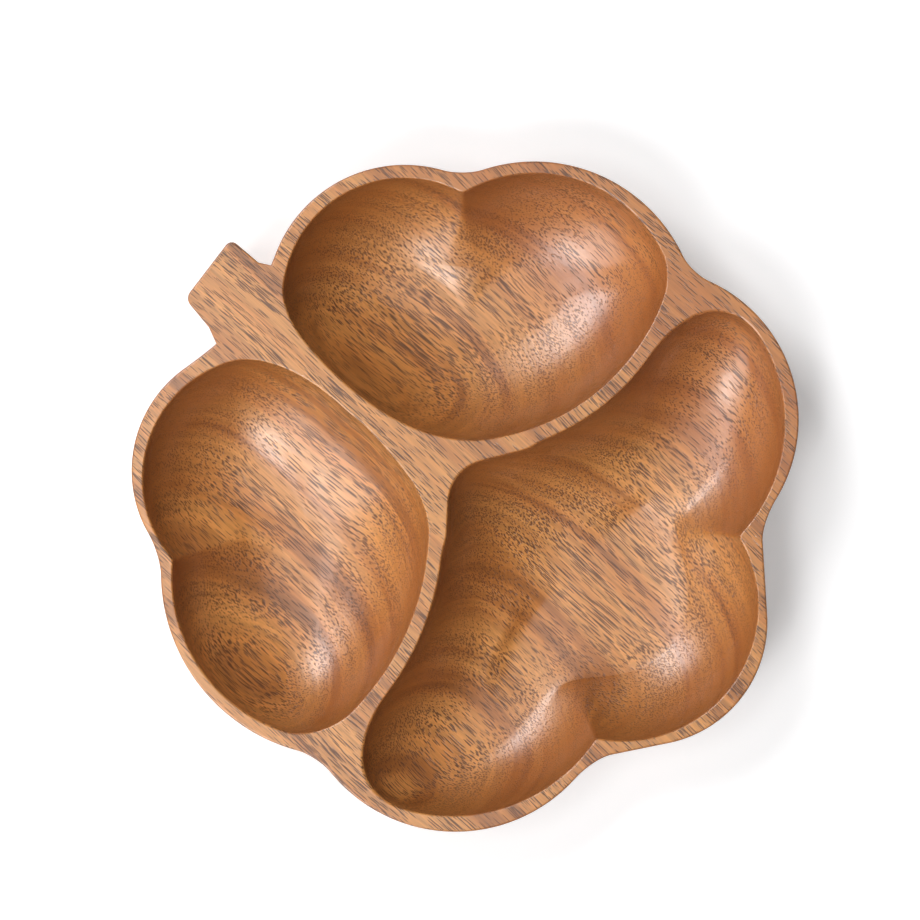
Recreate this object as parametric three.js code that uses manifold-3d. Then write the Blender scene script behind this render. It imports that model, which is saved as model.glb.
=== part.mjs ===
// Divided leaf tray: three wells carved into a leaf-shaped blank of five edge-glued wooden staves.
// Millimetres, +Z up. +Y points along the grain to the stem, and the tray rests on z = 0.

import * as THREE from 'three';
import { mergeVertices } from 'three/addons/utils/BufferGeometryUtils.js';
import Module from 'manifold-3d';

// Heights
const HEIGHT = 45; // table to rim
const FLOOR = 9; // wood under the deepest point of a well
const FLOOR_DISH = 0.7; // how far the middle of a well's floor lies below the bowl's arc
const EDGE_BREAK = 1; // bevel along both edges of the rim

// Leaf outline: six round lobes, given by centre and radius
const RIGHT_SHOULDER = { x: 46, y: 72.5, r: 60.5 };
const RIGHT_CHEEK = { x: 72.5, y: 21.5, r: 72 };
const RIGHT_HIP = { x: 70, y: -42.5, r: 66.5 };
const LEFT_HIP = { x: -68, y: -43, r: 70.5 };
const LEFT_CHEEK = { x: -63.5, y: 21.5, r: 80.5 };
const LEFT_SHOULDER = { x: -51.5, y: 79, r: 55 };

// Tip lobe: a circle at the tip, and straight flanks that spread from it
const TIP = { x: -1, y: -95.5, r: 54 };
const TIP_FLARE_ANGLE = 49; // degrees between a flank and the leaf's axis
const TIP_FLARE_LENGTH = 75; // how far the flanks run, measured along the axis

const NOTCH_ROUND = 7; // softens the notch between two lobes
const CROWN_ROUND = 40; // fills the notch that the stem stands in

// Stem, measured where it leaves the leaf and at its end
const STEM_ROOT = { x: 2.5, width: 36.8 };
const STEM_END = { x: 5.5, width: 33 };
const STEM_LENGTH = 21.7; // from the higher shoulder beside it to its end
const STEM_CORNER = 3.5;
const STEM_FILLET = 2.5; // where the stem meets the leaf
const STEM_KEEL = 4; // half width that the stem keeps at the table

// Outer side: upright below the rim, then turned in to the base
const SIDE_TURN_HEIGHT = 30;
const BASE_INSET = 12;

// Hollow of each lobe: direction of its crown in degrees, the rim left there, and how much wider than
// the lobe's the hollow's radius is
const RIGHT_SHOULDER_HOLLOW = { crown: 45, rim: 6.2, wider: -7.6 };
const RIGHT_CHEEK_HOLLOW = { crown: 32, rim: 5.5, wider: -10.6 };
const RIGHT_HIP_HOLLOW = { crown: -45, rim: 6.7, wider: 4.5 };
const LEFT_HIP_HOLLOW = { crown: -135, rim: 7.4, wider: 4.8 };
const LEFT_CHEEK_HOLLOW = { crown: 151, rim: 4.9, wider: -10 };
const LEFT_SHOULDER_HOLLOW = { crown: 82, rim: 6.8, wider: -1.8 };
const TIP_HOLLOW = { crown: -90, rim: 7, wider: 4.8 };

// Middle of each well: a circle that joins the hollows of its lobes
const RIGHT_MIDDLE = { x: 50, y: 45, r: 60 };
const LEFT_MIDDLE = { x: -55, y: 45, r: 58 };
const LARGE_MIDDLE = { x: -1, y: -45, r: 76 };

// Divider: an upright between the upper wells, and two arms above the large one
const AXIS_X = -1.65; // centre line of the upright
const UPRIGHT_WIDTH = 7.8; // at its waist
const RIGHT_UPRIGHT = { y: 63, r: 140 }; // waist, and radius of the edge
const LEFT_UPRIGHT = { y: 80, r: 195 };
const ARM_WIDTH = 7;
const RIGHT_ARM = { x: 89.7, y: 74.7, r: 94.7 }; // arc of the upper edge, its centre beside the axis
const LEFT_ARM = { x: 93.6, y: 96.6, r: 115.2 };

// Corner radii of the wells, seen from above
const HUB_ROUND = 6; // upper wells, where the upright meets an arm
const RIGHT_CORNER_ROUND = 5.5; // upper wells, against the rim
const LEFT_CORNER_ROUND = 11.5;
const JUNCTION_ROUND = 20; // large well, under the hub
const HIP_ROUND = 40; // large well, under the ends of the arms

// Bowl form of the wells
const BOWL_RUN = 50; // half axis of the bowl's arc, seen from above
const FLOOR_TURN = 22; // degrees of the arc's turn at which the floor's dish takes over
const CUSP_SOFTNESS = 0.5; // of a ridge at the rim: about half its radius there
const RIDGE_FADE = 30; // softness that it gains on its way to the floor
const RIDGE_HOLD = 2; // how late it gains it, as a power of the inset
const LEAST_DISH_POWER = 1.7; // keeps the middle of a floor round

// Staves
const STAVE_WIDTH = 60;
const GLUE_LINE = 0.1;

// Smoothness of the meshes
const LEAF_RAYS = 120;
const STEM_RAYS = 13;
const UPPER_WELL_RAYS = 72;
const LARGE_WELL_RAYS = 96;
const SIDE_STEPS = 5;
const BOWL_STEPS = 7;
const DISH_STEPS = 3;
const SEARCH_STEPS = 120;
const CUT_MARGIN = 5; // how far a cutter reaches past what it cuts

const STAVES = [
  { name: 'left_outer_stave', color: 0xba8a5c, roughness: 0.46 },
  { name: 'left_inner_stave', color: 0xb88758, roughness: 0.45 },
  { name: 'stem_stave', color: 0xad7b4d, roughness: 0.45 },
  { name: 'right_inner_stave', color: 0xb07f50, roughness: 0.45 },
  { name: 'right_outer_stave', color: 0x96664a, roughness: 0.47 },
];

const QUARTER_TURN = Math.PI / 2;
const FULL_TURN = Math.PI * 2;

const wasm = await Module();
wasm.setup();

// Signed distances in the plane: negative inside

function circle(p, centre, radius) {
  return Math.hypot(p.x - centre.x, p.y - centre.y) - radius;
}

function roundUnion(a, b, radius) {
  const corner = Math.hypot(Math.max(radius - a, 0), Math.max(radius - b, 0));
  return Math.max(radius, Math.min(a, b)) - corner;
}

function roundMeet(a, b, radius) {
  return -roundUnion(-a, -b, radius);
}

// Distance to the line from a to b, positive on its right
function rightOf(p, a, b) {
  const dx = b.x - a.x;
  const dy = b.y - a.y;
  return ((p.x - a.x) * dy - (p.y - a.y) * dx) / Math.hypot(dx, dy);
}

function lobe(form) {
  return (p) => circle(p, form, form.r);
}

function tipLobe(p) {
  const across = Math.abs(p.x - TIP.x);
  const along = p.y - TIP.y;
  const flare = THREE.MathUtils.degToRad(TIP_FLARE_ANGLE);
  const lean = Math.sin(flare);
  const upright = Math.cos(flare);
  const place = along * upright + across * lean;
  if (place < 0) return circle(p, TIP, TIP.r);
  if (place < TIP_FLARE_LENGTH * upright) return across * upright - along * lean - TIP.r;
  return circle(p, { x: TIP.x, y: TIP.y + TIP_FLARE_LENGTH }, TIP.r + TIP_FLARE_LENGTH * lean);
}

const LOBES_IN_ORDER = [
  lobe(LEFT_SHOULDER),
  lobe(LEFT_CHEEK),
  lobe(LEFT_HIP),
  tipLobe,
  lobe(RIGHT_HIP),
  lobe(RIGHT_CHEEK),
  lobe(RIGHT_SHOULDER),
];

function leaf(p) {
  const distances = LOBES_IN_ORDER.map((distance) => distance(p));
  const crown = roundUnion(distances[0], distances.at(-1), CROWN_ROUND);
  const notches = distances.slice(1).map((distance, i) => roundUnion(distances[i], distance, NOTCH_ROUND));
  return Math.min(crown, ...notches);
}

// Marches along a ray, from inside an outline to its edge
function reach({ start, direction }, outline, inset = 0) {
  const p = { x: start.x, y: start.y };
  for (let step = 0; step < SEARCH_STEPS; step += 1) {
    const distance = outline(p, inset);
    p.x -= direction.x * distance;
    p.y -= direction.y * distance;
  }
  return p;
}

function shoulderHeight(hand) {
  const start = { x: STEM_ROOT.x + hand * STEM_ROOT.width / 2, y: 0 };
  return reach({ start, direction: { x: 0, y: 1 } }, leaf).y;
}

const stemRootY = Math.max(shoulderHeight(-1), shoulderHeight(1));
const stemEndY = stemRootY + STEM_LENGTH;

function stem(p) {
  const root = (hand) => ({ x: STEM_ROOT.x + hand * STEM_ROOT.width / 2, y: stemRootY });
  const end = (hand) => ({ x: STEM_END.x + hand * STEM_END.width / 2, y: stemEndY });
  const sides = Math.max(rightOf(p, end(-1), root(-1)), rightOf(p, root(1), end(1)));
  const start = stemRootY - STEM_ROOT.width / 2 - p.y;
  return Math.max(roundMeet(sides, p.y - stemEndY, STEM_CORNER), start);
}

// Outer side of the tray, drawn in by inset all round
function leafOutline(p, inset) {
  const stemInset = Math.min(inset, STEM_END.width / 2 - STEM_KEEL);
  return roundUnion(leaf(p) + inset, stem(p) + stemInset, STEM_FILLET);
}

// Wells: hollows of the lobes joined by a middle, kept clear of the divider. The ridges between them fade
// with inset.

function hollow({ x, y, r }, { crown, rim, wider }) {
  const angle = THREE.MathUtils.degToRad(crown);
  const back = rim + wider;
  const centre = { x: x - back * Math.cos(angle), y: y - back * Math.sin(angle) };
  return (p, inset) => circle(p, centre, r + wider - inset);
}

function join(p, inset, hollows, middle) {
  const softness = CUSP_SOFTNESS + RIDGE_FADE * (Math.max(inset, 0) / BOWL_RUN) ** RIDGE_HOLD;
  const distances = hollows.map((distance) => distance(p, inset));
  distances.push(circle(p, middle, middle.r - inset));
  const nearest = Math.min(...distances);
  const shares = distances.map((distance) => Math.exp((nearest - distance) / softness));
  return nearest - softness * Math.log(shares.reduce((sum, share) => sum + share));
}

function rightArm(p, reach) {
  return circle(p, { x: AXIS_X + RIGHT_ARM.x, y: RIGHT_ARM.y }, RIGHT_ARM.r + reach);
}

function leftArm(p, reach) {
  return circle(p, { x: AXIS_X - LEFT_ARM.x, y: LEFT_ARM.y }, LEFT_ARM.r + reach);
}

function rightWell(p, inset) {
  const edge = { x: AXIS_X + UPRIGHT_WIDTH / 2 + RIGHT_UPRIGHT.r, y: RIGHT_UPRIGHT.y };
  const upright = circle(p, edge, RIGHT_UPRIGHT.r - inset);
  const sides = roundMeet(upright, rightArm(p, -inset), HUB_ROUND);
  return roundMeet(join(p, inset, RIGHT_HOLLOWS, RIGHT_MIDDLE), sides, RIGHT_CORNER_ROUND);
}

function leftWell(p, inset) {
  const edge = { x: AXIS_X - UPRIGHT_WIDTH / 2 - LEFT_UPRIGHT.r, y: LEFT_UPRIGHT.y };
  const upright = circle(p, edge, LEFT_UPRIGHT.r - inset);
  const sides = roundMeet(upright, leftArm(p, -inset), HUB_ROUND);
  return roundMeet(join(p, inset, LEFT_HOLLOWS, LEFT_MIDDLE), sides, LEFT_CORNER_ROUND);
}

function largeWell(p, inset) {
  const reach = ARM_WIDTH + inset;
  const arms = roundMeet(-rightArm(p, reach), -leftArm(p, reach), JUNCTION_ROUND);
  return roundMeet(join(p, inset, LARGE_HOLLOWS, LARGE_MIDDLE), arms, HIP_ROUND);
}

const RIGHT_HOLLOWS = [
  hollow(RIGHT_SHOULDER, RIGHT_SHOULDER_HOLLOW),
  hollow(RIGHT_CHEEK, RIGHT_CHEEK_HOLLOW),
];
const LEFT_HOLLOWS = [
  hollow(LEFT_SHOULDER, LEFT_SHOULDER_HOLLOW),
  hollow(LEFT_CHEEK, LEFT_CHEEK_HOLLOW),
];
const LARGE_HOLLOWS = [
  hollow(LEFT_HIP, LEFT_HIP_HOLLOW),
  hollow(TIP, TIP_HOLLOW),
  hollow(RIGHT_HIP, RIGHT_HIP_HOLLOW),
];

function between(a, b) {
  return { x: (a.x + b.x) / 2, y: (a.y + b.y) / 2 };
}

const WELLS = [
  {
    outline: leftWell,
    middle: between(LEFT_SHOULDER, LEFT_CHEEK),
    rays: UPPER_WELL_RAYS,
  },
  {
    outline: rightWell,
    middle: between(RIGHT_SHOULDER, RIGHT_CHEEK),
    rays: UPPER_WELL_RAYS,
  },
  {
    outline: largeWell,
    middle: between(between(LEFT_HIP, RIGHT_HIP), TIP),
    rays: LARGE_WELL_RAYS,
  },
];

// Rays that find an outline's points in order, anticlockwise

function fan(start, from, to, count) {
  return Array.from({ length: count }, (_, i) => {
    const angle = from + (to - from) * i / (count - 1);
    return { start, direction: { x: Math.cos(angle), y: Math.sin(angle) } };
  });
}

function leafRays() {
  const shoulder = STEM_ROOT.width / 2 + STEM_FILLET;
  const leftRoot = Math.atan2(stemRootY, STEM_ROOT.x - shoulder);
  const rightRoot = Math.atan2(stemRootY, STEM_ROOT.x + shoulder);
  const middle = { x: 0, y: 0 };
  const stemMiddle = { x: STEM_END.x, y: stemEndY - BASE_INSET - STEM_KEEL };
  return [
    ...fan(middle, leftRoot, rightRoot + FULL_TURN, LEAF_RAYS),
    ...fan(stemMiddle, 0, Math.PI, STEM_RAYS),
  ];
}

function fullFan(start, count) {
  return fan(start, 0, FULL_TURN, count + 1).slice(0, count);
}

function ring(rays, outline, inset, z) {
  return rays.map((ray) => {
    const { x, y } = reach(ray, outline, inset);
    return new THREE.Vector3(x, y, z);
  });
}

// Closed solid through rings of equal length, listed from the bottom up
function loft(rings) {
  const count = rings[0].length;
  const points = rings.flat();
  const index = [];
  for (let level = 0; level + 1 < rings.length; level += 1) {
    for (let i = 0; i < count; i += 1) {
      const a = level * count + i;
      const b = level * count + (i + 1) % count;
      index.push(a, b, b + count, a, b + count, a + count);
    }
  }
  const cap = THREE.ShapeUtils.triangulateShape(rings[0], []);
  const lid = THREE.ShapeUtils.triangulateShape(rings.at(-1), []);
  const top = count * (rings.length - 1);
  cap.forEach(([a, b, c]) => index.push(a, c, b));
  lid.forEach(([a, b, c]) => index.push(top + a, top + b, top + c));
  const geometry = new THREE.BufferGeometry().setFromPoints(points);
  geometry.setIndex(index);
  return toSolid(geometry);
}

function toSolid(geometry) {
  const vertProperties = new Float32Array(geometry.getAttribute('position').array);
  const triVerts = new Uint32Array(geometry.getIndex().array);
  return new wasm.Manifold(new wasm.Mesh({ numProp: 3, vertProperties, triVerts }));
}

function toGeometry(solid) {
  const { vertProperties, triVerts } = solid.getMesh();
  const geometry = new THREE.BufferGeometry();
  geometry.setAttribute('position', new THREE.BufferAttribute(vertProperties, 3));
  geometry.setIndex(new THREE.BufferAttribute(triVerts, 1));
  geometry.computeVertexNormals();
  return geometry;
}

function leafBlank() {
  const rays = leafRays();
  const rings = [];
  for (let step = 0; step <= SIDE_STEPS; step += 1) {
    const turn = QUARTER_TURN * step / SIDE_STEPS;
    const inset = BASE_INSET * (1 - Math.sin(turn));
    rings.push(ring(rays, leafOutline, inset, SIDE_TURN_HEIGHT * (1 - Math.cos(turn))));
  }
  rings.push(ring(rays, leafOutline, 0, HEIGHT - EDGE_BREAK));
  rings.push(ring(rays, leafOutline, EDGE_BREAK, HEIGHT));
  return { solid: loft(rings), outline: rings.at(-2) };
}

function wellCutter(well) {
  const rays = fullFan(well.middle, well.rays);
  const { outline } = well;
  const depth = HEIGHT - FLOOR - FLOOR_DISH;
  const floorTurn = THREE.MathUtils.degToRad(FLOOR_TURN);
  const wall = Array.from({ length: BOWL_STEPS }, (_, step) => {
    const turn = floorTurn + (QUARTER_TURN - floorTurn) * step / BOWL_STEPS;
    const inset = BOWL_RUN * (1 - Math.sin(turn));
    return ring(rays, outline, inset, FLOOR + FLOOR_DISH + depth * (1 - Math.cos(turn)));
  });
  return loft([
    ...floorRings(wall[0], well.middle, depth / BOWL_RUN * Math.tan(floorTurn)),
    ...wall,
    ring(rays, outline, 0, HEIGHT - EDGE_BREAK),
    ring(rays, outline, -EDGE_BREAK, HEIGHT),
    ring(rays, outline, -EDGE_BREAK, HEIGHT + CUT_MARGIN),
  ]);
}

// Dished floor inside a wall's lowest ring, which it meets at the wall's own slope
function floorRings(edge, { x, y }, slope) {
  const middle = new THREE.Vector3(x, y, FLOOR);
  const rise = edge[0].z - FLOOR;
  return Array.from({ length: DISH_STEPS }, (_, i) => {
    const share = (i + 1) / (DISH_STEPS + 1);
    return edge.map((p) => {
      const power = Math.max(slope * Math.hypot(p.x - x, p.y - y) / rise, LEAST_DISH_POWER);
      return new THREE.Vector3().lerpVectors(middle, p, share).setZ(FLOOR + rise * share ** power);
    });
  });
}

function staveBlock(from, to, box) {
  const length = box.max.y - box.min.y + 2 * CUT_MARGIN;
  const block = new THREE.BoxGeometry(to - from, length, HEIGHT + 2 * CUT_MARGIN);
  block.translate((from + to) / 2, (box.max.y + box.min.y) / 2, HEIGHT / 2);
  block.deleteAttribute('normal');
  block.deleteAttribute('uv');
  return toSolid(mergeVertices(block));
}

function carvedTray() {
  const blank = leafBlank();
  const carved = WELLS.reduce((solid, well) => solid.subtract(wellCutter(well)), blank.solid);
  const box = new THREE.Box3().setFromPoints(blank.outline);
  const middleJoint = (STAVES.length - 2) / 2;
  const joints = STAVES.slice(1).map((_, i) => (i - middleJoint) * STAVE_WIDTH);
  const edges = [box.min.x - CUT_MARGIN, ...joints, box.max.x + CUT_MARGIN];
  const tray = new THREE.Group();
  STAVES.forEach(({ name, color, roughness }, i) => {
    const block = staveBlock(edges[i] + GLUE_LINE / 2, edges[i + 1] - GLUE_LINE / 2, box);
    const material = new THREE.MeshStandardMaterial({ color, roughness, metalness: 0 });
    const stave = new THREE.Mesh(toGeometry(carved.intersect(block)), material);
    stave.name = name;
    tray.add(stave);
  });
  const middle = box.getCenter(new THREE.Vector3());
  tray.position.set(-middle.x, -middle.y, 0);
  return tray;
}

export default carvedTray();
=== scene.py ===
"""Divided leaf tray: five edge-glued acacia staves, carved into a lobed leaf with three wells.

Metres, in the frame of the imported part: +Z up, +Y along the grain to the stem, the table at z = 0.
"""

import math

import bmesh
import bpy
import numpy as np
from bpy.props import FloatProperty, FloatVectorProperty, PointerProperty
from mathutils import Euler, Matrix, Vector
from mathutils.geometry import delaunay_2d_cdt


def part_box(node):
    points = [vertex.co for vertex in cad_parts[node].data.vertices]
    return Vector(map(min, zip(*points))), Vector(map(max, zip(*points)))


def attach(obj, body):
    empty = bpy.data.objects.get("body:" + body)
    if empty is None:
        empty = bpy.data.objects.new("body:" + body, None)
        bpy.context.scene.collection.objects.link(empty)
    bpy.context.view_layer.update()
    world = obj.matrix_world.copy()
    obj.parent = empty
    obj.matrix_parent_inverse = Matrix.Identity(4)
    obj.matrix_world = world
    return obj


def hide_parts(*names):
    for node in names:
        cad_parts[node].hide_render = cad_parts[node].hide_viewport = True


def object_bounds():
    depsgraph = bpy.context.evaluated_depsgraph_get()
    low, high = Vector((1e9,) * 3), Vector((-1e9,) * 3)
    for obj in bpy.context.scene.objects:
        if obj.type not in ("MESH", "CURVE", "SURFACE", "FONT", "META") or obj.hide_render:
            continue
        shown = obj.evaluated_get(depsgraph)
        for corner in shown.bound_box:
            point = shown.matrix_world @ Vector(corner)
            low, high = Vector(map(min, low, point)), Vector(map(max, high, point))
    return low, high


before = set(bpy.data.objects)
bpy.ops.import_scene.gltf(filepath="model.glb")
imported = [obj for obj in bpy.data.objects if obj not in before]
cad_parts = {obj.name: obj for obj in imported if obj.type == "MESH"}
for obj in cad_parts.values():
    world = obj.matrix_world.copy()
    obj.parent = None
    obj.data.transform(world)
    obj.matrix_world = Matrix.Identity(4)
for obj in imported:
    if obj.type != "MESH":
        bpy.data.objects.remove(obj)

bl_info = {
    "name": "Divided Leaf Tray",
    "version": (1, 0, 0),
    "blender": (4, 5, 0),
    "location": "View3D > Sidebar > Leaf Tray",
    "description": "Carves a leaf-shaped acacia tray with three wells and sets its studio stage",
    "category": "Object",
}

CAD_BOX = [list(corner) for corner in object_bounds()]
STAVES = (
    "left_outer_stave", "left_inner_stave", "stem_stave", "right_inner_stave", "right_outer_stave",
)
MM = 0.001

# Fineness of the carved mesh
LEAF_RAYS = 600
STEM_RAYS = 61
WELL_RAYS = 520
TRIAL_RAYS = 4000
SIDE_STEPS = 16
WALL_STEPS = 40
DISH_STEPS = 8
ROUND_STEPS = 5
SEARCH_STEPS = 140

# Points closer than this are taken as one, in metres, and in millimetres for the flat faces
SAME_PLACE = 1e-7
SAME_PLACE_MM = 1e-6

# The floor's dish is never rounder than this power of the way out
LEAST_DISH_POWER = 1.7

# The wood's pattern in millimetres: across the grain, along it, and through the block
SWAY_SIZE = (55, 130, 55)
BAND_SIZE = (9, 240, 90)
RIPPLE_SIZE = (1.5, 90, 30)
FIBRE_SIZE = (0.6, 22, 0.6)
PORE_SIZE = (0.6, 12, 0.6)
PORE_PATCH_SIZE = (5, 120, 40)
HEARTWOOD_START, HEARTWOOD_FULL = 62, 100
GROWTH_LEAN = math.radians(45)
GRAIN_RELIEF = 0.00012

# How far a face leans to the fibres where end grain starts to show, and where it shows in full
SIDE_GRAIN, END_GRAIN = 0.2, 0.8

# The stage: a wide floor just under the tray, so that the two don't share a plane, a bright band
# at the horizon, and soft boxes at one distance. Each box has its name, its direction from the
# tray, its width and its power.
FLOOR_HALF = 8.0
FLOOR_GAP = 0.0002
HORIZON_TOP = 0.12
SENSOR_WIDTH = 36
LAMP_DISTANCE = 1.8
SOFT_BOXES = (
    ("overhead_soft_box", (0, 0, 1), 1.0, 3.1),
    ("side_soft_box", (-0.208, 0.271, 0.94), 0.45, 3.6),
    ("back_soft_box", (0.084, 0.637, 0.766), 0.7, 16.8),
    ("front_soft_box", (-0.637, 0.084, 0.766), 0.7, 6),
    ("low_soft_box", (-0.875, 0.115, 0.469), 0.7, 5.5),
    ("small_soft_box", (-0.496, -0.065, 0.866), 0.45, 8.3),
)


def linear(code):
    """A hex sRGB colour as linear red, green and blue."""
    parts = [int(code[i : i + 2], 16) / 255 for i in (0, 2, 4)]
    return tuple(c / 12.92 if c <= 0.04045 else ((c + 0.055) / 1.055) ** 2.4 for c in parts)


class LeafOutline(bpy.types.PropertyGroup):
    """The tray's outer form. A lobe has its centre across, its centre along and its radius."""

    right_shoulder: FloatVectorProperty(
        name="Right shoulder", description="Lobe right of the stem",
        default=(0.046, 0.0725, 0.0605), unit="LENGTH",
    )
    right_cheek: FloatVectorProperty(
        name="Right cheek", description="Widest lobe on the right",
        default=(0.0725, 0.0215, 0.072), unit="LENGTH",
    )
    right_hip: FloatVectorProperty(
        name="Right hip", description="Lobe right of the tip",
        default=(0.07, -0.0425, 0.0665), unit="LENGTH",
    )
    left_hip: FloatVectorProperty(
        name="Left hip", description="Lobe left of the tip",
        default=(-0.068, -0.043, 0.0705), unit="LENGTH",
    )
    left_cheek: FloatVectorProperty(
        name="Left cheek", description="Widest lobe on the left",
        default=(-0.0635, 0.0215, 0.0805), unit="LENGTH",
    )
    left_shoulder: FloatVectorProperty(
        name="Left shoulder", description="Lobe left of the stem",
        default=(-0.0515, 0.079, 0.055), unit="LENGTH",
    )
    tip: FloatVectorProperty(
        name="Tip", description="Round end of the tip lobe",
        default=(-0.001, -0.0955, 0.054), unit="LENGTH",
    )
    tip_flare: FloatProperty(
        name="Tip flare",
        description="Angle between a flank of the tip and the leaf's axis",
        default=math.radians(49),
        subtype="ANGLE",
    )
    tip_flare_length: FloatProperty(
        name="Tip flare length", description="How far the tip's flanks run along the axis",
        default=0.075, unit="LENGTH",
    )
    notch_round: FloatProperty(
        name="Notch round", description="Softness of the notch between two lobes",
        default=0.007, unit="LENGTH",
    )
    crown_round: FloatProperty(
        name="Crown round", description="Fill of the notch that the stem stands in",
        default=0.04, unit="LENGTH",
    )
    stem_root: FloatVectorProperty(
        name="Stem root", description="Place across and width where the stem leaves the leaf",
        default=(0.0025, 0.0368), size=2, unit="LENGTH",
    )
    stem_end: FloatVectorProperty(
        name="Stem end", description="Place across and width at the stem's end",
        default=(0.0055, 0.033), size=2, unit="LENGTH",
    )
    stem_length: FloatProperty(
        name="Stem length", description="From the higher shoulder beside it to its end",
        default=0.0217, unit="LENGTH",
    )
    stem_corner: FloatProperty(
        name="Stem corner", description="Corner radius at the stem's end",
        default=0.0035, unit="LENGTH",
    )
    stem_fillet: FloatProperty(
        name="Stem fillet", description="Radius where the stem meets the leaf",
        default=0.0025, unit="LENGTH",
    )
    stem_keel: FloatProperty(
        name="Stem keel", description="Half width that the stem keeps at the table",
        default=0.004, unit="LENGTH",
    )
    height: FloatProperty(
        name="Height", description="Table to rim",
        default=CAD_BOX[1][2] - CAD_BOX[0][2], unit="LENGTH",
    )
    side_turn_height: FloatProperty(
        name="Side turn height", description="Height at which the side starts to turn in",
        default=0.03, unit="LENGTH",
    )
    base_inset: FloatProperty(
        name="Base inset", description="How far the base stands in from the side",
        default=0.012, unit="LENGTH",
    )
    edge_round: FloatProperty(
        name="Edge round", description="Radius of the sanded edges of the rim",
        default=0.001, unit="LENGTH",
    )


def hollow_place(name, degrees):
    return FloatProperty(
        name=name, description="Direction of the lobe's crown",
        default=math.radians(degrees), subtype="ANGLE",
    )


def hollow_size(name, rim, wider):
    return FloatVectorProperty(
        name=name,
        description="Rim left at the lobe's crown, and how much wider the hollow is than the lobe",
        default=(rim, wider), size=2, unit="LENGTH",
    )


class CarvedWells(bpy.types.PropertyGroup):
    """The three wells, hollowed lobe by lobe, and the divider left between them."""

    right_shoulder_crown: hollow_place("Right shoulder crown", 45)
    right_shoulder: hollow_size("Right shoulder hollow", 0.0062, -0.0076)
    right_cheek_crown: hollow_place("Right cheek crown", 32)
    right_cheek: hollow_size("Right cheek hollow", 0.0055, -0.0106)
    right_hip_crown: hollow_place("Right hip crown", -45)
    right_hip: hollow_size("Right hip hollow", 0.0067, 0.0045)
    left_hip_crown: hollow_place("Left hip crown", -135)
    left_hip: hollow_size("Left hip hollow", 0.0074, 0.0048)
    left_cheek_crown: hollow_place("Left cheek crown", 151)
    left_cheek: hollow_size("Left cheek hollow", 0.0049, -0.01)
    left_shoulder_crown: hollow_place("Left shoulder crown", 82)
    left_shoulder: hollow_size("Left shoulder hollow", 0.0068, -0.0018)
    tip_crown: hollow_place("Tip crown", -90)
    tip: hollow_size("Tip hollow", 0.007, 0.0048)
    right_middle: FloatVectorProperty(
        name="Right middle", description="Circle that joins the right well's hollows",
        default=(0.05, 0.045, 0.06), unit="LENGTH",
    )
    left_middle: FloatVectorProperty(
        name="Left middle", description="Circle that joins the left well's hollows",
        default=(-0.055, 0.045, 0.058), unit="LENGTH",
    )
    large_middle: FloatVectorProperty(
        name="Large middle", description="Circle that joins the large well's hollows",
        default=(-0.001, -0.045, 0.076), unit="LENGTH",
    )
    axis: FloatProperty(
        name="Axis", description="Centre line of the upright",
        default=-0.00165, unit="LENGTH",
    )
    upright_width: FloatProperty(
        name="Upright width", description="Width of the upright at its waist",
        default=0.0078, unit="LENGTH",
    )
    right_upright: FloatVectorProperty(
        name="Right of upright", description="Place of the waist, and radius of the edge",
        default=(0.063, 0.14), size=2, unit="LENGTH",
    )
    left_upright: FloatVectorProperty(
        name="Left of upright", description="Place of the waist, and radius of the edge",
        default=(0.08, 0.195), size=2, unit="LENGTH",
    )
    arm_width: FloatProperty(
        name="Arm width", description="Width of the arms",
        default=0.007, unit="LENGTH",
    )
    right_arm: FloatVectorProperty(
        name="Right arm",
        description="Centre beside the axis, centre along and radius of its upper edge",
        default=(0.0897, 0.0747, 0.0947), unit="LENGTH",
    )
    left_arm: FloatVectorProperty(
        name="Left arm",
        description="Centre beside the axis, centre along and radius of its upper edge",
        default=(0.0936, 0.0966, 0.1152), unit="LENGTH",
    )
    hub_round: FloatProperty(
        name="Hub round", description="Upper wells' corner at the hub", default=0.006, unit="LENGTH"
    )
    right_corner_round: FloatProperty(
        name="Right corner round", description="Right well's corners at the rim",
        default=0.0055, unit="LENGTH",
    )
    left_corner_round: FloatProperty(
        name="Left corner round", description="Left well's corners at the rim",
        default=0.0115, unit="LENGTH",
    )
    junction_round: FloatProperty(
        name="Junction round", description="Large well's bend under the hub",
        default=0.02, unit="LENGTH",
    )
    hip_round: FloatProperty(
        name="Hip round", description="Large well's corners under the arms",
        default=0.04, unit="LENGTH",
    )
    floor: FloatProperty(
        name="Floor", description="Wood under the deepest point",
        default=0.009, unit="LENGTH",
    )
    dish: FloatProperty(
        name="Dish", description="Depth of the floor's middle below the bowl's arc",
        default=0.0007, unit="LENGTH",
    )
    bowl_run: FloatProperty(
        name="Bowl run", description="Half axis of the bowl's arc, seen from above",
        default=0.05, unit="LENGTH",
    )
    floor_turn: FloatProperty(
        name="Floor turn", description="Turn of the arc where the floor's dish takes over",
        default=math.radians(22), subtype="ANGLE",
    )
    cusp_softness: FloatProperty(
        name="Cusp softness",
        description="Softness of a ridge at the rim, about half its radius there",
        default=0.0005, unit="LENGTH",
    )
    ridge_fade: FloatProperty(
        name="Ridge fade", description="Softness that a ridge gains on its way to the floor",
        default=0.03,
        unit="LENGTH",
    )
    ridge_hold: FloatProperty(
        name="Ridge hold",
        description="How late an upper well's ridge softens, as a power of the way down",
        default=4,
    )
    hip_ridge_hold: FloatProperty(
        name="Hip ridge hold",
        description="How late the large well's ridges soften, as a power of the way down",
        default=2,
    )


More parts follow.
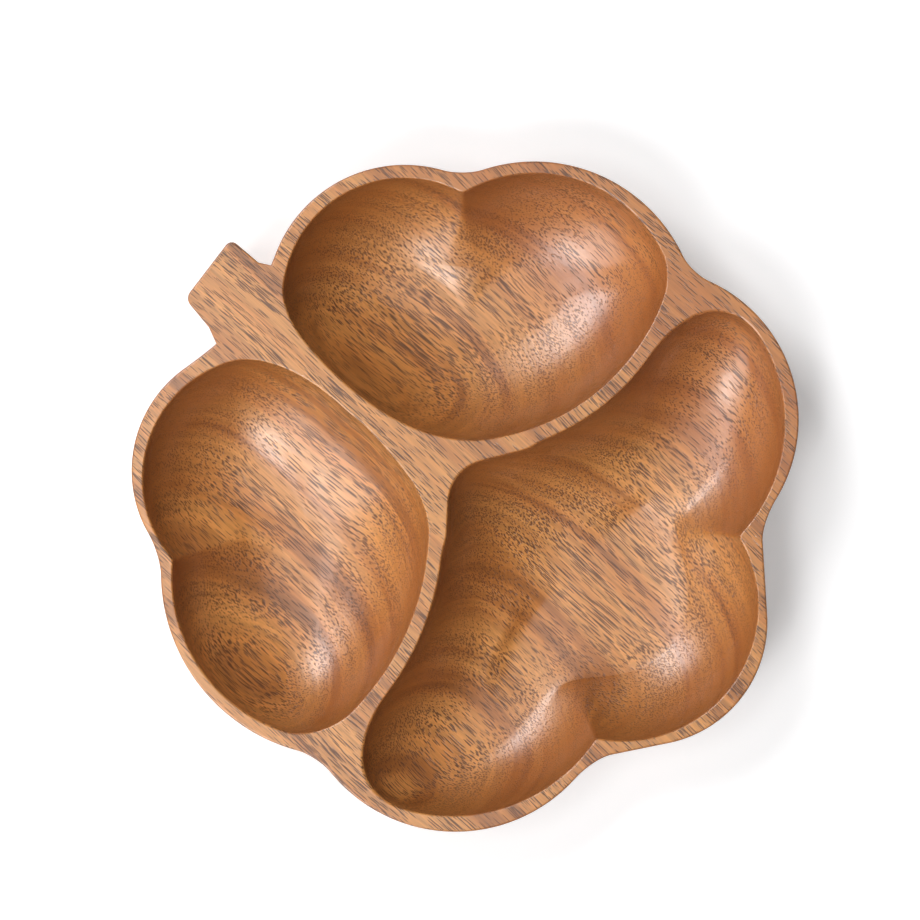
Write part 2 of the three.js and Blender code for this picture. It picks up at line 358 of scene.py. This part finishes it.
class AcaciaFinish(bpy.types.PropertyGroup):
    """Colours of the oiled wood."""

    pale: FloatVectorProperty(
        name="Pale wood", description="Lightest growth bands",
        default=linear("d08e4c"), subtype="COLOR",
    )
    honey: FloatVectorProperty(
        name="Honey wood", description="Common tone of the wood",
        default=linear("bf793b"), subtype="COLOR",
    )
    dark: FloatVectorProperty(
        name="Dark wood", description="Dark growth lines", default=linear("854f24"), subtype="COLOR"
    )
    red: FloatVectorProperty(
        name="Red wood", description="Redder heartwood on the right",
        default=linear("b66e3e"), subtype="COLOR",
    )
    pore: FloatVectorProperty(
        name="Pores", description="Open pores that took up the oil",
        default=linear("5c3214"), subtype="COLOR",
    )
    end_grain: FloatVectorProperty(
        name="End grain", description="Wood cut across the fibres",
        default=linear("a15b26"), subtype="COLOR",
    )
    pore_depth: FloatProperty(
        name="Pore depth", description="How much of the pores' colour shows",
        default=0.92, subtype="FACTOR",
    )
    grain_lean: FloatProperty(
        name="Grain lean", description="Angle of the grain to the stem",
        default=math.radians(6), subtype="ANGLE",
    )


class StudioStage(bpy.types.PropertyGroup):
    """Camera, lights and floor."""

    view_centre: FloatVectorProperty(
        name="View centre", description="Point under the camera",
        default=(0.006, 0.0113), size=2, unit="LENGTH",
    )
    view_turn: FloatProperty(
        name="View turn", description="Turn of the camera about the upright",
        default=math.radians(-52.5),
        subtype="ANGLE",
    )
    view_distance: FloatProperty(
        name="View distance", description="Rim to camera", default=1.4, unit="LENGTH"
    )
    view_width: FloatProperty(
        name="View width", description="Width of the picture at the rim",
        default=0.402, unit="LENGTH",
    )
    fill_strength: FloatProperty(
        name="Fill", description="Strength of the even light all round",
        default=0.01,
    )
    ceiling: FloatProperty(
        name="Ceiling", description="Brightness of the studio above its white walls", default=0.04
    )
    floor_colour: FloatVectorProperty(
        name="Floor", description="Paper under the tray", default=linear("f3f3f4"), subtype="COLOR"
    )
    floor_lift: FloatProperty(
        name="Floor lift", description="How much whiter the paper is seen",
        default=0.36,
    )


# The tray seen from above: signed distances, negative inside


def circle(x, y, centre, radius):
    return np.hypot(x - centre[0], y - centre[1]) - radius


def round_union(a, b, radius):
    corner = np.hypot(np.maximum(radius - a, 0), np.maximum(radius - b, 0))
    return np.maximum(radius, np.minimum(a, b)) - corner


def round_meet(a, b, radius):
    return -round_union(-a, -b, radius)


def right_of(x, y, a, b):
    """Distance to the line from a to b, positive on its right."""
    dx, dy = b[0] - a[0], b[1] - a[1]
    return ((x - a[0]) * dy - (y - a[1]) * dx) / math.hypot(dx, dy)


def lobe(x, y, form):
    return circle(x, y, form, form[2])


def tip_lobe(x, y, leaf):
    tip = leaf.tip
    across, along = np.abs(x - tip[0]), y - tip[1]
    lean, upright = math.sin(leaf.tip_flare), math.cos(leaf.tip_flare)
    place = along * upright + across * lean
    flank = across * upright - along * lean - tip[2]
    back = (tip[0], tip[1] + leaf.tip_flare_length)
    behind = circle(x, y, back, tip[2] + leaf.tip_flare_length * lean)
    beyond = np.where(place < leaf.tip_flare_length * upright, flank, behind)
    return np.where(place < 0, lobe(x, y, tip), beyond)


def leaf_body(x, y, leaf):
    lobes = [lobe(x, y, form) for form in (leaf.left_shoulder, leaf.left_cheek, leaf.left_hip)]
    lobes.append(tip_lobe(x, y, leaf))
    lobes += [lobe(x, y, form) for form in (leaf.right_hip, leaf.right_cheek, leaf.right_shoulder)]
    body = round_union(lobes[0], lobes[-1], leaf.crown_round)
    for one, other in zip(lobes, lobes[1:]):
        body = np.minimum(body, round_union(one, other, leaf.notch_round))
    return body


def reach(start, direction, outline):
    """Marches along rays from inside an outline to its edge."""
    points = np.broadcast_to(np.asarray(start, float), direction.shape).copy()
    for _ in range(SEARCH_STEPS):
        points -= direction * outline(points[:, 0], points[:, 1])[:, None]
    return points


def stem_root_height(leaf):
    """Height along the leaf of the higher shoulder beside the stem."""
    sides = [(leaf.stem_root[0] + hand * leaf.stem_root[1] / 2, 0.0) for hand in (-1, 1)]
    up = np.array([(0.0, 1.0)] * 2)
    return reach(sides, up, lambda x, y: leaf_body(x, y, leaf))[:, 1].max()


def leaf_outline(x, y, leaf, root, inset):
    """Outer side of the tray, drawn in by inset all round."""
    end = root + leaf.stem_length
    roots = [(leaf.stem_root[0] + hand * leaf.stem_root[1] / 2, root) for hand in (-1, 1)]
    ends = [(leaf.stem_end[0] + hand * leaf.stem_end[1] / 2, end) for hand in (-1, 1)]
    sides = np.maximum(right_of(x, y, ends[0], roots[0]), right_of(x, y, roots[1], ends[1]))
    stem = round_meet(sides, y - end, leaf.stem_corner)
    stem = np.maximum(stem, root - leaf.stem_root[1] / 2 - y)
    stem_inset = min(inset, leaf.stem_end[1] / 2 - leaf.stem_keel)
    return round_union(leaf_body(x, y, leaf) + inset, stem + stem_inset, leaf.stem_fillet)


def hollow(x, y, leaf, wells, name, inset):
    """A lobe's hollow: wider or tighter than the lobe, and set back from its crown by the rim."""
    form = getattr(leaf, name)
    rim, wider = getattr(wells, name)
    crown = getattr(wells, f"{name}_crown")
    centre = (form[0] - (rim + wider) * math.cos(crown), form[1] - (rim + wider) * math.sin(crown))
    return circle(x, y, centre, form[2] + wider - inset)


def join(x, y, leaf, wells, names, middle, inset, hold):
    """Hollows joined by a middle, with ridges between them that fade with inset."""
    softness = wells.cusp_softness + wells.ridge_fade * (max(inset, 0) / wells.bowl_run) ** hold
    distances = [hollow(x, y, leaf, wells, name, inset) for name in names]
    distances.append(circle(x, y, middle, middle[2] - inset))
    nearest = np.minimum.reduce(distances)
    shares = sum(np.exp((nearest - distance) / softness) for distance in distances)
    return nearest - softness * np.log(shares)


def arm_edge(x, y, wells, hand, reach):
    arm = wells.right_arm if hand > 0 else wells.left_arm
    return circle(x, y, (wells.axis + hand * arm[0], arm[1]), arm[2] + reach)


def upper_well(x, y, leaf, wells, side, inset):
    hand = 1 if side == "right" else -1
    waist, radius = getattr(wells, f"{side}_upright")
    edge = (wells.axis + hand * (wells.upright_width / 2 + radius), waist)
    upright = circle(x, y, edge, radius - inset)
    sides = round_meet(upright, arm_edge(x, y, wells, hand, -inset), wells.hub_round)
    names = (f"{side}_shoulder", f"{side}_cheek")
    middle = getattr(wells, f"{side}_middle")
    joined = join(x, y, leaf, wells, names, middle, inset, wells.ridge_hold)
    return round_meet(joined, sides, getattr(wells, f"{side}_corner_round"))


def large_well(x, y, leaf, wells, inset):
    arms = [-arm_edge(x, y, wells, hand, wells.arm_width + inset) for hand in (1, -1)]
    names = ("left_hip", "tip", "right_hip")
    joined = join(x, y, leaf, wells, names, wells.large_middle, inset, wells.hip_ridge_hold)
    return round_meet(joined, round_meet(*arms, wells.junction_round), wells.hip_round)


def between(*forms):
    return np.mean([(form[0], form[1]) for form in forms], axis=0)


def well_plans(leaf, wells):
    """Each well's outline at an inset, and the point that its rays start from."""
    hips = between(leaf.left_hip, leaf.right_hip)
    return [
        (
            lambda x, y, inset: upper_well(x, y, leaf, wells, "left", inset),
            between(leaf.left_shoulder, leaf.left_cheek),
        ),
        (
            lambda x, y, inset: upper_well(x, y, leaf, wells, "right", inset),
            between(leaf.right_shoulder, leaf.right_cheek),
        ),
        (lambda x, y, inset: large_well(x, y, leaf, wells, inset), between(hips, hips, leaf.tip)),
    ]


# The carved body


def directions(angle):
    """A unit direction at each angle."""
    return np.stack([np.cos(angle), np.sin(angle)], axis=1)


def level(points, z):
    """Points of the plane at a height, or at a height each."""
    return np.column_stack([points, np.broadcast_to(z, len(points))])


def side_rings(leaf):
    """Rings of the outer side, from the base up to the top face."""
    root = stem_root_height(leaf)
    shoulder = leaf.stem_root[1] / 2 + leaf.stem_fillet
    left = math.atan2(root, leaf.stem_root[0] - shoulder)
    right = math.atan2(root, leaf.stem_root[0] + shoulder)
    round_leaf = directions(np.linspace(left, right + 2 * math.pi, LEAF_RAYS))
    round_stem = directions(np.linspace(0, math.pi, STEM_RAYS))
    direction = np.vstack([round_leaf, round_stem])
    foot = (leaf.stem_end[0], root + leaf.stem_length - leaf.base_inset - leaf.stem_keel)
    start = np.vstack([np.zeros_like(round_leaf), np.tile(foot, (STEM_RAYS, 1))])
    turn = np.linspace(0, math.pi / 2, SIDE_STEPS + 1)
    heights = leaf.side_turn_height * (1 - np.cos(turn))
    steps = list(zip(leaf.base_inset * (1 - np.sin(turn)), heights))
    edge = np.linspace(0, math.pi / 2, ROUND_STEPS + 1)
    low = leaf.height - leaf.edge_round
    steps += list(zip(leaf.edge_round * (1 - np.cos(edge)), low + leaf.edge_round * np.sin(edge)))
    return [
        level(reach(start, direction, lambda x, y: leaf_outline(x, y, leaf, root, inset)), z)
        for inset, z in steps
    ]


def even_fan(plan, middle, inset):
    """Directions from a well's middle that divide the way round its floor and its rim evenly."""
    angle = np.linspace(0, 2 * math.pi, TRIAL_RAYS + 1)
    direction = directions(angle)
    way = angle / angle[-1]
    for edge_inset in (inset, inset / 2, 0):
        edge = reach(middle, direction, lambda x, y: plan(x, y, edge_inset))
        length = np.append(0, np.cumsum(np.hypot(*np.diff(edge, axis=0).T)))
        way = way + length / length[-1]
    even = np.interp(np.linspace(0, way[-1], WELL_RAYS + 1)[:-1], way, angle)
    return directions(even)


def well_rings(plan, middle, leaf, wells):
    """Rings of a well, from its floor up to the top face. The dish meets the wall at its slope."""
    depth = leaf.height - wells.floor - wells.dish
    turn = np.linspace(wells.floor_turn, math.pi / 2, WALL_STEPS + 1)
    insets = wells.bowl_run * (1 - np.sin(turn))
    direction = even_fan(plan, middle, insets[0])
    heights = wells.floor + wells.dish + depth * (1 - np.cos(turn))
    edge = np.linspace(0, math.pi / 2, ROUND_STEPS + 1)
    heights[-1] = leaf.height - leaf.edge_round
    insets = np.append(insets, -leaf.edge_round * (1 - np.cos(edge[1:])))
    heights = np.append(heights, heights[-1] + leaf.edge_round * np.sin(edge[1:]))
    walls = [
        level(reach(middle, direction, lambda x, y: plan(x, y, inset)), z)
        for inset, z in zip(insets, heights)
    ]
    floor_edge = walls[0][:, :2]
    rise = heights[0] - wells.floor
    slope = depth / wells.bowl_run * math.tan(wells.floor_turn)
    power = np.maximum(slope * np.hypot(*(floor_edge - middle).T) / rise, LEAST_DISH_POWER)
    dish = []
    for step in range(1, DISH_STEPS):
        share = step / DISH_STEPS
        ring = middle + (floor_edge - middle) * share
        dish.append(level(ring, wells.floor + rise * share**power))
    return [level(np.array([middle]), wells.floor)] + dish + walls


def flat_faces(loops):
    """Triangles that fill an outline less its holes, as indices into the loops' points in order."""
    points = np.vstack([loop[:, :2] for loop in loops]) / MM
    edges, first = [], 0
    for loop in loops:
        count = len(loop)
        edges += [(first + i, first + (i + 1) % count) for i in range(count)]
        first += count
    filled = delaunay_2d_cdt([Vector(p) for p in points], edges, [], 1, SAME_PLACE_MM)
    faces = np.array([[filled[3][i][0] for i in face] for face in filled[2]])
    x, y = (middle[:, None] for middle in points[faces].mean(axis=1).T)
    (ax, ay), (bx, by) = points[[i for i, _ in edges]].T, points[[j for _, j in edges]].T
    passes = (ay > y) != (by > y)
    passes &= ((x - ax) * (by - ay) < (y - ay) * (bx - ax)) == (by > ay)
    return faces[passes.sum(axis=1) % 2 == 1].tolist()


def check_closed(body, name):
    if any(not edge.is_manifold for edge in body.edges):
        raise RuntimeError(f"{name} isn't closed")


def carve_tray(leaf, wells):
    """One closed mesh of the carved blank, with its true surface's normals kept on its points."""
    side = side_rings(leaf)
    middle = (side[-2][:, :2].max(axis=0) + side[-2][:, :2].min(axis=0)) / 2
    hollows = [well_rings(plan, start, leaf, wells) for plan, start in well_plans(leaf, wells)]
    points, faces, tops = [], [], []

    def loft(rings):
        """Adds rings of points and the faces between them, and gives each ring's first index."""
        firsts = []
        for ring in rings:
            firsts.append(sum(len(p) for p in points))
            points.append(ring)
        for (low, a), (high, b) in zip(zip(firsts, rings), zip(firsts[1:], rings[1:])):
            count = len(b)
            for i in range(count):
                j = (i + 1) % count
                if len(a) == 1:
                    faces.append((low, high + j, high + i))
                else:
                    faces.append((low + i, low + j, high + j, high + i))
        return firsts

    firsts = loft(side)
    faces += [tuple(firsts[0] + i for i in face) for face in flat_faces([side[0]])]
    tops.append((firsts[-1], side[-1]))
    for rings in hollows:
        tops.append((loft(rings)[-1], rings[-1]))
    index = np.concatenate([first + np.arange(len(ring)) for first, ring in tops])
    faces += [tuple(int(index[i]) for i in face) for face in flat_faces([ring for _, ring in tops])]

    co = np.vstack(points) - (*middle, 0)
    co = np.clip(co, CAD_BOX[0], CAD_BOX[1])
    body = bmesh.new()
    verts = [body.verts.new(p) for p in co]
    for face in faces:
        body.faces.new([verts[i] for i in face])
    bmesh.ops.recalc_face_normals(body, faces=body.faces)
    body.normal_update()
    check_closed(body, "the carved blank")
    kept = body.verts.layers.float_vector.new("carved_normal")
    for vert in body.verts:
        if vert.co.z > leaf.height - SAME_PLACE:
            vert[kept] = (0, 0, 1)
        elif vert.co.z < SAME_PLACE:
            vert[kept] = (0, 0, -1)
        else:
            vert[kept] = vert.normal
    return body


def cut_stave(body, name):
    """A stave of the carved blank, between the joints on either side of it."""
    stave = body.copy()
    flags = stave.faces.layers.int.new("joint_face")
    place = STAVES.index(name)
    for hand in (-1, 1):
        if not 0 <= place + hand < len(STAVES):
            continue
        near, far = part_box(name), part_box(STAVES[place + hand])
        joint = (near[0].x + far[1].x) / 2 if hand < 0 else (near[1].x + far[0].x) / 2
        everything = stave.verts[:] + stave.edges[:] + stave.faces[:]
        bmesh.ops.bisect_plane(
            stave, geom=everything, dist=SAME_PLACE,
            plane_co=(joint, 0, 0), plane_no=(hand, 0, 0), clear_outer=True,
        )
        rim = [edge for edge in stave.edges if edge.is_boundary]
        cap = bmesh.ops.holes_fill(stave, edges=rim)["faces"]
        for face in cap:
            face[flags] = hand
            face.normal_update()
            if face.normal.x * hand < 0:
                face.normal_flip()
        bmesh.ops.triangulate(stave, faces=cap)
    check_closed(stave, name)
    mesh = bpy.data.meshes.new(name)
    stave.to_mesh(mesh)
    stave.free()
    normals = np.zeros(len(mesh.vertices) * 3)
    mesh.attributes["carved_normal"].data.foreach_get("vector", normals)
    joint_side = np.zeros(len(mesh.polygons), int)
    mesh.attributes["joint_face"].data.foreach_get("value", joint_side)
    corner_vert = np.zeros(len(mesh.loops), int)
    mesh.loops.foreach_get("vertex_index", corner_vert)
    corner_count = np.zeros(len(mesh.polygons), int)
    mesh.polygons.foreach_get("loop_total", corner_count)
    corner_side = np.repeat(joint_side, corner_count)
    corners = normals.reshape(-1, 3)[corner_vert]
    corners[corner_side != 0] = 0
    corners[:, 0] += corner_side
    mesh.polygons.foreach_set("use_smooth", [True] * len(mesh.polygons))
    mesh.normals_split_custom_set(corners.tolist())
    for spare in ("carved_normal", "joint_face"):
        mesh.attributes.remove(mesh.attributes[spare])
    return mesh


def add_node(tree, kind, inputs=None, **settings):
    """Adds a node, applies its settings, and fills its inputs with values or links."""
    node = tree.nodes.new(kind)
    for name, value in settings.items():
        setattr(node, name, value)
    for key, value in (inputs or {}).items():
        if isinstance(value, bpy.types.NodeSocket):
            tree.links.new(value, node.inputs[key])
        else:
            node.inputs[key].default_value = value
    return node


def seen_rays(tree):
    """1 for the camera, a reflection or a look through glass, and 0 for light on its way."""
    path = add_node(tree, "ShaderNodeLightPath").outputs
    rays = path["Is Camera Ray"]
    for kind in ("Is Glossy Ray", "Is Transmission Ray"):
        rays = add_node(
            tree, "ShaderNodeMath", {0: rays, 1: path[kind]}, operation="MAXIMUM"
        ).outputs[0]
    return rays


def satin_acacia(finish):
    """Acacia, carved, sanded and oiled to a satin sheen.

    Open pores show as dark dashes along the grain and as dots across it. Growth bands run through
    the whole block. End grain is darker, because it took up more oil.
    """
    material = bpy.data.materials.get("satin_acacia")
    if material:
        return material
    material = bpy.data.materials.new("satin_acacia")
    material.use_nodes = True
    tree = material.node_tree
    tree.nodes.clear()

    place = add_node(tree, "ShaderNodeTexCoord").outputs["Object"]
    mm = add_node(
        tree, "ShaderNodeVectorMath", {0: place, "Scale": 1 / MM}, operation="SCALE"
    ).outputs[0]
    straight = add_node(
        tree, "ShaderNodeMapping", {"Vector": mm, "Rotation": (0, 0, finish.grain_lean)}
    ).outputs[0]

    # The fibres wander by a few millimetres over a hand's length
    sway = add_node(
        tree, "ShaderNodeVectorMath", {0: straight, 1: SWAY_SIZE}, operation="DIVIDE"
    ).outputs[0]
    sway = add_node(
        tree, "ShaderNodeTexNoise", {"Vector": sway, "Scale": 1, "Detail": 1}
    ).outputs["Color"]
    sway = add_node(
        tree, "ShaderNodeVectorMath",
        {0: sway, 1: (14, 0, 14), 2: (-7, 0, -7)}, operation="MULTIPLY_ADD",
    ).outputs[0]
    grain = add_node(tree, "ShaderNodeVectorMath", {0: straight, 1: sway}).outputs[0]

    # Growth bands lie at 45 degrees through the block: broad ones, and fine ones of 1.5 mm
    turned = add_node(
        tree, "ShaderNodeVectorRotate",
        {"Vector": grain, "Angle": GROWTH_LEAN}, rotation_type="Y_AXIS",
    ).outputs[0]
    band = add_node(
        tree, "ShaderNodeVectorMath", {0: turned, 1: BAND_SIZE}, operation="DIVIDE"
    ).outputs[0]
    band = add_node(
        tree, "ShaderNodeTexNoise", {"Vector": band, "Scale": 1, "Detail": 3, "Roughness": 0.6}
    ).outputs["Fac"]
    ripple = add_node(
        tree, "ShaderNodeVectorMath", {0: turned, 1: RIPPLE_SIZE}, operation="DIVIDE"
    ).outputs[0]
    ripple = add_node(
        tree, "ShaderNodeTexNoise", {"Vector": ripple, "Scale": 1, "Detail": 1}
    ).outputs["Fac"]
    share = add_node(
        tree, "ShaderNodeMapRange", {"Value": band, "From Min": 0.4, "From Max": 0.6}
    ).outputs[0]
    tone = add_node(
        tree, "ShaderNodeMix",
        {0: share, 6: (*finish.honey, 1), 7: (*finish.pale, 1)}, data_type="RGBA",
    ).outputs[2]
    share = add_node(
        tree, "ShaderNodeMapRange",
        {"Value": band, "From Min": 0.45, "From Max": 0.31, "To Max": 0.85},
    ).outputs[0]
    tone = add_node(
        tree, "ShaderNodeMix", {0: share, 6: tone, 7: (*finish.dark, 1)}, data_type="RGBA"
    ).outputs[2]

    # Fine fibre streaks, drawn 0.6 mm wide so that they show
    fibre = add_node(
        tree, "ShaderNodeVectorMath", {0: grain, 1: FIBRE_SIZE}, operation="DIVIDE"
    ).outputs[0]
    fibre = add_node(
        tree, "ShaderNodeTexNoise", {"Vector": fibre, "Scale": 1, "Detail": 2}
    ).outputs["Fac"]
    fibre = add_node(tree, "ShaderNodeMath", {0: fibre, 1: ripple}, operation="ADD").outputs[0]
    streak = add_node(
        tree, "ShaderNodeMapRange",
        {"Value": fibre, "From Min": 0.7, "From Max": 1.3, "To Min": 0.74, "To Max": 1.2},
    ).outputs[0]
    tone = add_node(
        tree, "ShaderNodeVectorMath", {0: tone, "Scale": streak}, operation="SCALE"
    ).outputs[0]

    # Redder heartwood towards the right-hand edge
    across = add_node(tree, "ShaderNodeSeparateXYZ", {0: grain}).outputs["X"]
    share = add_node(
        tree, "ShaderNodeMapRange",
        {"Value": across, "From Min": HEARTWOOD_START, "From Max": HEARTWOOD_FULL, "To Max": 0.5},
        interpolation_type="SMOOTHSTEP",
    ).outputs[0]
    tone = add_node(
        tree, "ShaderNodeMix", {0: share, 6: tone, 7: (*finish.red, 1)}, data_type="RGBA"
    ).outputs[2]

    # End grain takes up more oil
    facing = add_node(tree, "ShaderNodeNewGeometry").outputs["Normal"]
    fibre_way = (math.sin(finish.grain_lean), math.cos(finish.grain_lean), 0)
    cut = add_node(
        tree, "ShaderNodeVectorMath", {0: facing, 1: fibre_way}, operation="DOT_PRODUCT"
    ).outputs["Value"]
    cut = add_node(tree, "ShaderNodeMath", {0: cut}, operation="ABSOLUTE").outputs[0]
    share = add_node(
        tree, "ShaderNodeMapRange",
        {"Value": cut, "From Min": SIDE_GRAIN, "From Max": END_GRAIN, "To Max": 0.8},
    ).outputs[0]
    tone = add_node(
        tree, "ShaderNodeMix", {0: share, 6: tone, 7: (*finish.end_grain, 1)}, data_type="RGBA"
    ).outputs[2]

    # Pores, drawn 0.5 mm wide so that they show, and 10 mm long, wider in some growth bands. They
    # stand out less on the end grain, which is dark already.
    pore = add_node(
        tree, "ShaderNodeVectorMath", {0: grain, 1: PORE_SIZE}, operation="DIVIDE"
    ).outputs[0]
    pore = add_node(tree, "ShaderNodeTexVoronoi", {"Vector": pore, "Scale": 1}).outputs["Distance"]
    patch = add_node(
        tree, "ShaderNodeVectorMath", {0: turned, 1: PORE_PATCH_SIZE}, operation="DIVIDE"
    ).outputs[0]
    patch = add_node(
        tree, "ShaderNodeTexNoise", {"Vector": patch, "Scale": 1, "Detail": 1}
    ).outputs["Fac"]
    limit = add_node(
        tree, "ShaderNodeMapRange",
        {"Value": patch, "From Min": 0.35, "From Max": 0.65, "To Min": 0.33, "To Max": 0.49},
    ).outputs[0]
    under = add_node(tree, "ShaderNodeMath", {0: limit, 1: pore}, operation="SUBTRACT").outputs[0]
    hole = add_node(tree, "ShaderNodeMapRange", {"Value": under, "From Max": 0.09}).outputs[0]
    depth = add_node(
        tree, "ShaderNodeMapRange",
        {
            "Value": cut, "From Min": SIDE_GRAIN, "From Max": END_GRAIN,
            "To Min": finish.pore_depth, "To Max": finish.pore_depth / 2,
        },
    ).outputs[0]
    share = add_node(tree, "ShaderNodeMath", {0: hole, 1: depth}, operation="MULTIPLY").outputs[0]
    colour = add_node(
        tree, "ShaderNodeMix", {0: share, 6: tone, 7: (*finish.pore, 1)}, data_type="RGBA"
    ).outputs[2]

    rough = add_node(
        tree, "ShaderNodeMapRange", {"Value": hole, "To Min": 0.4, "To Max": 0.65}
    ).outputs[0]
    relief = add_node(tree, "ShaderNodeMath", {0: streak, 1: hole}, operation="SUBTRACT").outputs[0]
    bump = add_node(
        tree, "ShaderNodeBump", {"Height": relief, "Distance": GRAIN_RELIEF, "Strength": 0.5}
    ).outputs[0]
    shader = add_node(
        tree,
        "ShaderNodeBsdfPrincipled",
        {
            "Base Color": colour, "Roughness": rough, "Normal": bump, "IOR": 1.5,
            "Coat Weight": 1.0, "Coat Roughness": 0.28, "Coat IOR": 1.56, "Coat Normal": bump,
        },
    )
    add_node(tree, "ShaderNodeOutputMaterial", {"Surface": shader.outputs["BSDF"]})
    return material


def make_staves(names):
    """Carves the blank, cuts these staves from it and sets them in place of their solids."""
    scene = bpy.context.scene
    body = carve_tray(scene.leaf_outline, scene.carved_wells)
    for name in names:
        piece = bpy.data.objects.new(f"carved_{name}", cut_stave(body, name))
        piece.data.materials.append(satin_acacia(scene.acacia_finish))
        scene.collection.objects.link(piece)
        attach(piece, "root")
        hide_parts(name)
    body.free()


class LEAFTRAY_OT_stem_stave(bpy.types.Operator):
    """Carves the middle stave with the stem, the divider's hub and the tip"""

    bl_idname = "leaf_tray.stem_stave"
    bl_label = "Stem Stave"

    def execute(self, context):
        make_staves(["stem_stave"])
        return {"FINISHED"}


class LEAFTRAY_OT_side_staves(bpy.types.Operator):
    """Carves the two staves on either side of the stem stave"""

    bl_idname = "leaf_tray.side_staves"
    bl_label = "Side Staves"

    def execute(self, context):
        make_staves([name for name in STAVES if name != "stem_stave"])
        return {"FINISHED"}


class LEAFTRAY_OT_stage(bpy.types.Operator):
    """Lays the white floor, hangs the soft boxes and sets the camera above the tray"""

    bl_idname = "leaf_tray.stage"
    bl_label = "Stage"

    def execute(self, context):
        scene = context.scene
        stage = scene.studio_stage
        scene.view_settings.view_transform = "Standard"

        # Matt white paper, even and without gloss. It is seen lifted to white and keeps its shadow.
        paper = bpy.data.materials.new("white_paper")
        paper.use_nodes = True
        tree = paper.node_tree
        tree.nodes.clear()
        diffuse = add_node(tree, "ShaderNodeBsdfDiffuse", {"Color": (*stage.floor_colour, 1)})
        lift = add_node(
            tree, "ShaderNodeMath", {0: seen_rays(tree), 1: stage.floor_lift}, operation="MULTIPLY"
        )
        glow = add_node(tree, "ShaderNodeEmission", {"Strength": lift.outputs["Value"]})
        both = add_node(tree, "ShaderNodeAddShader", {0: diffuse.outputs[0], 1: glow.outputs[0]})
        add_node(tree, "ShaderNodeOutputMaterial", {"Surface": both.outputs[0]})
        mesh = bpy.data.meshes.new("floor")
        low = CAD_BOX[0][2] - FLOOR_GAP
        square = ((-1, -1), (1, -1), (1, 1), (-1, 1))
        corners = [(x * FLOOR_HALF, y * FLOOR_HALF, low) for x, y in square]
        mesh.from_pydata(corners, [], [(0, 1, 2, 3)])
        mesh.materials.append(paper)
        floor = bpy.data.objects.new("floor", mesh)
        scene.collection.objects.link(floor)

        for name, way, size, power in SOFT_BOXES:
            lamp = bpy.data.lights.new(name, "AREA")
            lamp.shape = "SQUARE"
            lamp.size = size
            lamp.energy = power
            box = bpy.data.objects.new(name, lamp)
            way = Vector(way).normalized()
            box.location = way * LAMP_DISTANCE
            box.rotation_euler = way.to_track_quat("Z", "Y").to_euler()
            scene.collection.objects.link(box)

        world = bpy.data.worlds.new("studio")
        world.use_nodes = True
        tree = world.node_tree
        tree.nodes.clear()
        way = add_node(tree, "ShaderNodeTexCoord").outputs["Generated"]
        height = add_node(tree, "ShaderNodeSeparateXYZ", {0: way}).outputs["Z"]
        studio = add_node(
            tree, "ShaderNodeMapRange",
            {"Value": height, "From Max": HORIZON_TOP, "To Min": 1, "To Max": stage.ceiling},
        ).outputs["Result"]
        strength = add_node(
            tree, "ShaderNodeMapRange",
            {"Value": seen_rays(tree), "To Min": stage.fill_strength, "To Max": studio},
        ).outputs["Result"]
        sky = add_node(tree, "ShaderNodeBackground", {"Color": (1, 1, 1, 1), "Strength": strength})
        add_node(tree, "ShaderNodeOutputWorld", {"Surface": sky.outputs[0]})
        scene.world = world

        lens = bpy.data.cameras.new("camera")
        lens.sensor_width = SENSOR_WIDTH
        lens.lens = lens.sensor_width * stage.view_distance / stage.view_width
        camera = bpy.data.objects.new("camera", lens)
        camera.location = (*stage.view_centre, CAD_BOX[1][2] + stage.view_distance)
        camera.rotation_euler = Euler((0, 0, stage.view_turn))
        scene.collection.objects.link(camera)
        scene.camera = camera
        return {"FINISHED"}


class LEAFTRAY_PT_panel(bpy.types.Panel):
    """Sizes and colours of the tray, and the steps that make it"""

    bl_label = "Leaf Tray"
    bl_idname = "LEAFTRAY_PT_panel"
    bl_space_type = "VIEW_3D"
    bl_region_type = "UI"
    bl_category = "Leaf Tray"

    def draw(self, context):
        for step in (LEAFTRAY_OT_stage, LEAFTRAY_OT_stem_stave, LEAFTRAY_OT_side_staves):
            self.layout.operator(step.bl_idname)
        for settings in SETTINGS:
            group = getattr(context.scene, settings)
            box = self.layout.box()
            for name in group.__annotations__:
                box.prop(group, name)


SETTINGS = {
    "leaf_outline": LeafOutline,
    "carved_wells": CarvedWells,
    "acacia_finish": AcaciaFinish,
    "studio_stage": StudioStage,
}
STEPS = (LEAFTRAY_OT_stage, LEAFTRAY_OT_stem_stave, LEAFTRAY_OT_side_staves, LEAFTRAY_PT_panel)


def register():
    for name, group in SETTINGS.items():
        bpy.utils.register_class(group)
        setattr(bpy.types.Scene, name, PointerProperty(type=group))
    for step in STEPS:
        bpy.utils.register_class(step)


def unregister():
    for step in reversed(STEPS):
        bpy.utils.unregister_class(step)
    for name, group in reversed(SETTINGS.items()):
        delattr(bpy.types.Scene, name)
        bpy.utils.unregister_class(group)


def main():
    register()
    bpy.ops.leaf_tray.stage()
    bpy.ops.leaf_tray.stem_stave()
    bpy.ops.leaf_tray.side_staves()


if __name__ == "__main__":
    main()
